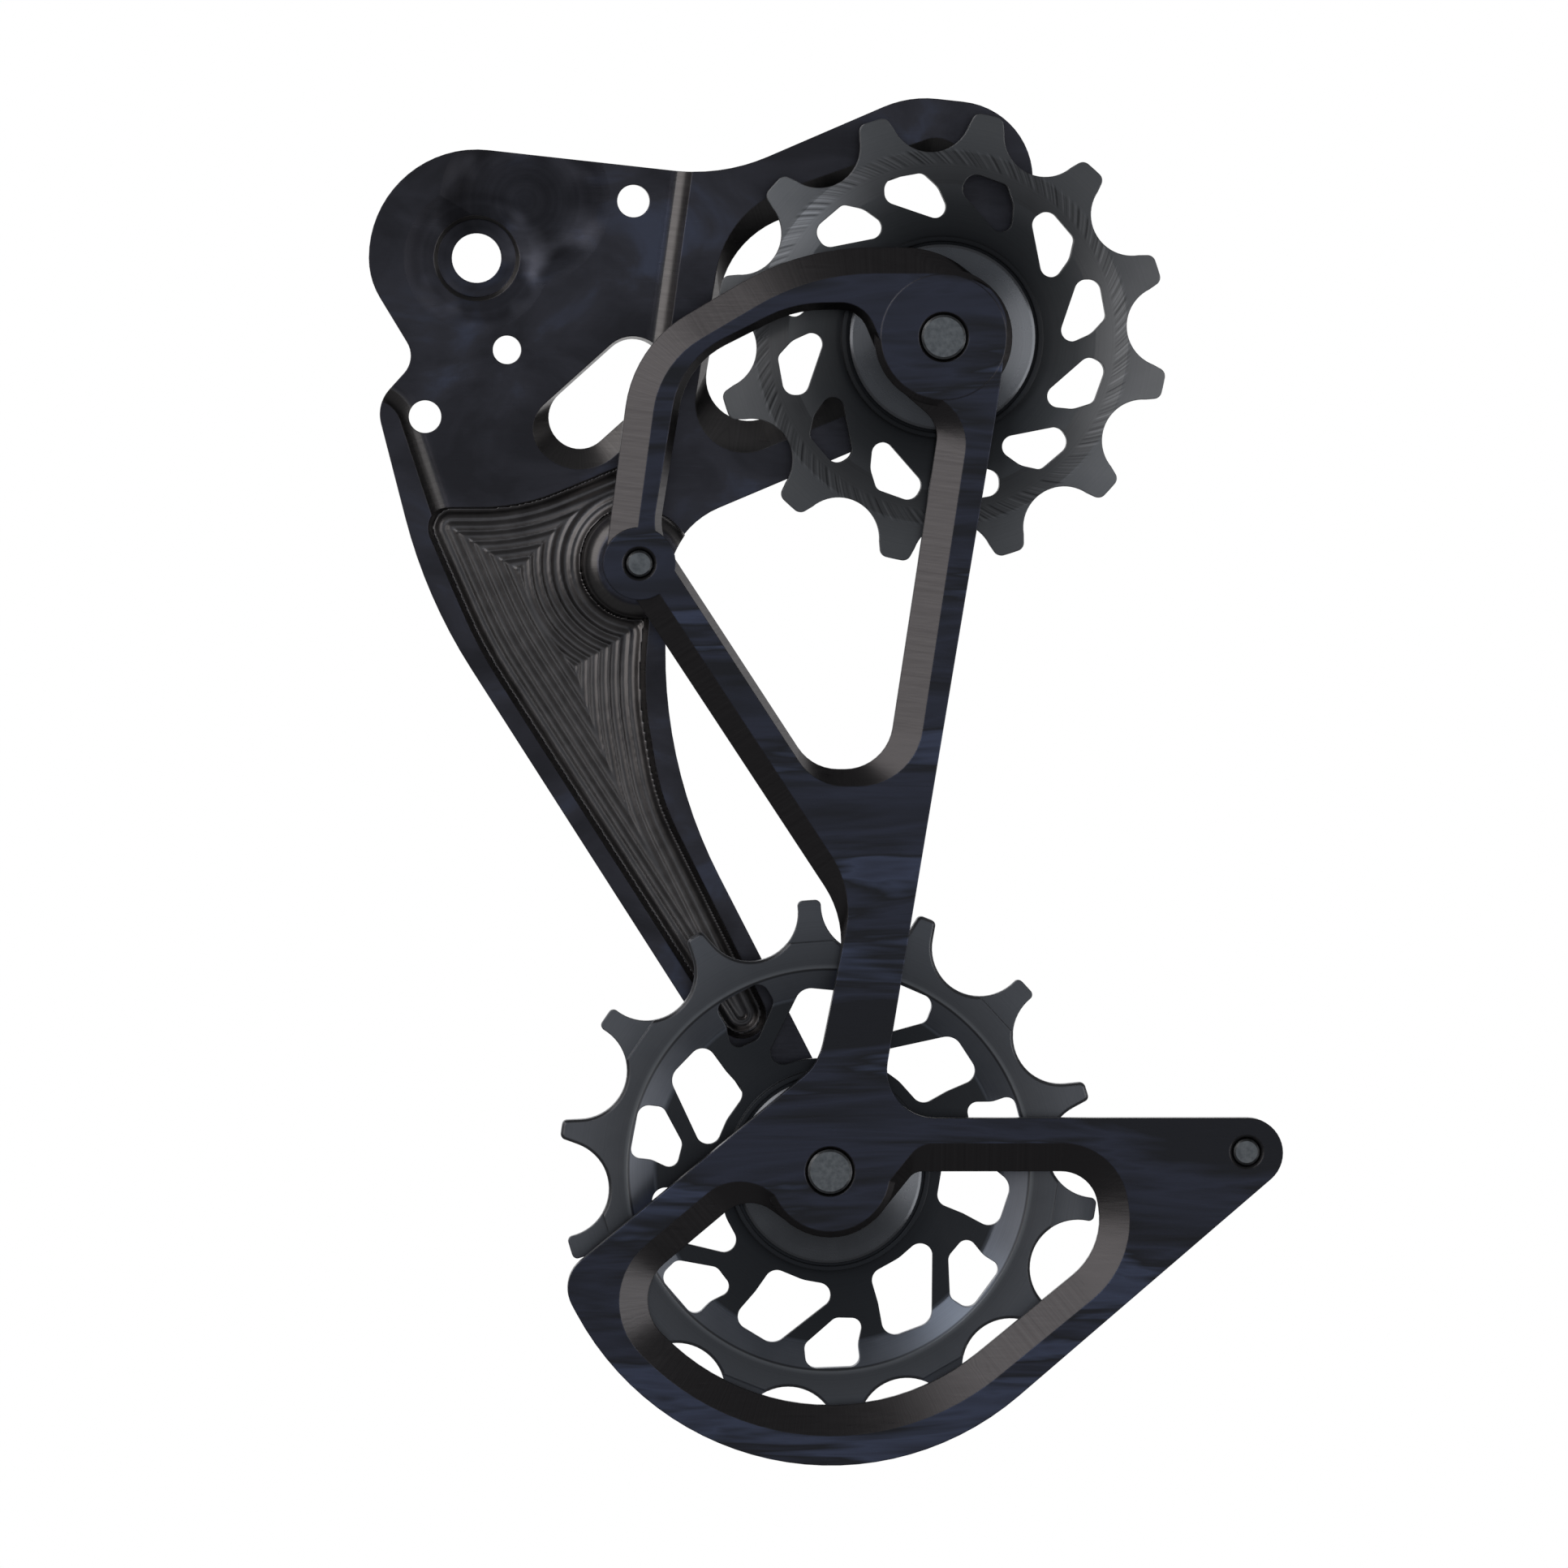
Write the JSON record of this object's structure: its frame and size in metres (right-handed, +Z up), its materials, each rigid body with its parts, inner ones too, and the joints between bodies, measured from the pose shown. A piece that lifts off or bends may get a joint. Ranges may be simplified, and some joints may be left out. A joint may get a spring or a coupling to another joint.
{
  "type": "rear derailleur pulley cage",
  "caption": "Machined black pulley cage of a bicycle rear derailleur, with two plates, an upper and a lower chain pulley on ball bearings, and an open cage pivot bore.",
  "frame": {"origin": "centre of the cage pivot bore on the outer plate's outboard face", "axes": "+Y outboard along the pulley axles, away from the wheel; +Z up; +X from the pivot towards the upper pulley"},
  "size_m": [0.1021, 0.0167, 0.1529],
  "materials": {
    "outer_plate_anodised": "black anodised, satin",
    "inner_plate_anodised": "black anodised, satin",
    "pulley_anodised": "dark anodised with milling marks",
    "cover_anodised": "turned, dark anodised",
    "screw_steel": "plain steel",
    "axle_aluminium": "turned",
    "bearing_steel": "ground",
    "retainer_brass": "plain",
    "seal_rubber": "matte"
  },
  "bodies": {
    "cage": {"outer_plate": "outer_plate_anodised", "inner_plate": "inner_plate_anodised", "bridge_screw": "screw_steel", "post_screw": "screw_steel", "post_sleeve": "axle_aluminium", "upper_pulley_screw": "screw_steel", "upper_axle_bush": "axle_aluminium", "upper_cover_inboard": "cover_anodised", "upper_cover_outboard": "cover_anodised", "upper_bearing_inner_ring": "bearing_steel", "lower_pulley_screw": "screw_steel", "lower_axle_bush": "axle_aluminium", "lower_cover_inboard": "cover_anodised", "lower_cover_outboard": "cover_anodised", "lower_bearing_inner_ring": "bearing_steel"},
    "upper_pulley_body": {"upper_pulley": "pulley_anodised", "upper_bearing_outer_ring": "bearing_steel", "upper_seal_inboard": "seal_rubber", "upper_seal_outboard": "seal_rubber"},
    "lower_pulley_body": {"lower_pulley": "pulley_anodised", "lower_bearing_outer_ring": "bearing_steel", "lower_seal_inboard": "seal_rubber", "lower_seal_outboard": "seal_rubber"},
    "upper_ball_set": {"upper_bearing_balls": "bearing_steel", "upper_bearing_retainer": "retainer_brass"},
    "lower_ball_set": {"lower_bearing_balls": "bearing_steel", "lower_bearing_retainer": "retainer_brass"}
  },
  "joints": [
    {"name": "upper_pulley_spin", "type": "hinge", "parent": "cage", "child": "upper_pulley_body", "pos_m": [0.052, -0.009, -0.0089], "axis": [0, 1, 0], "continuous": true},
    {"name": "lower_pulley_spin", "type": "hinge", "parent": "cage", "child": "lower_pulley_body", "pos_m": [0.0393, -0.009, -0.10215], "axis": [0, 1, 0], "continuous": true},
    {"name": "upper_ball_spin", "type": "hinge", "parent": "cage", "child": "upper_ball_set", "pos_m": [0.052, -0.009, -0.0089], "axis": [0, 1, 0], "continuous": true},
    {"name": "lower_ball_spin", "type": "hinge", "parent": "cage", "child": "lower_ball_set", "pos_m": [0.0393, -0.009, -0.10215], "axis": [0, 1, 0], "continuous": true}
  ],
  "couplings": [
    {"joint": "upper_ball_spin", "follows": "upper_pulley_spin", "ratio": 0.582},
    {"joint": "lower_ball_spin", "follows": "lower_pulley_spin", "ratio": 0.582}
  ]
}
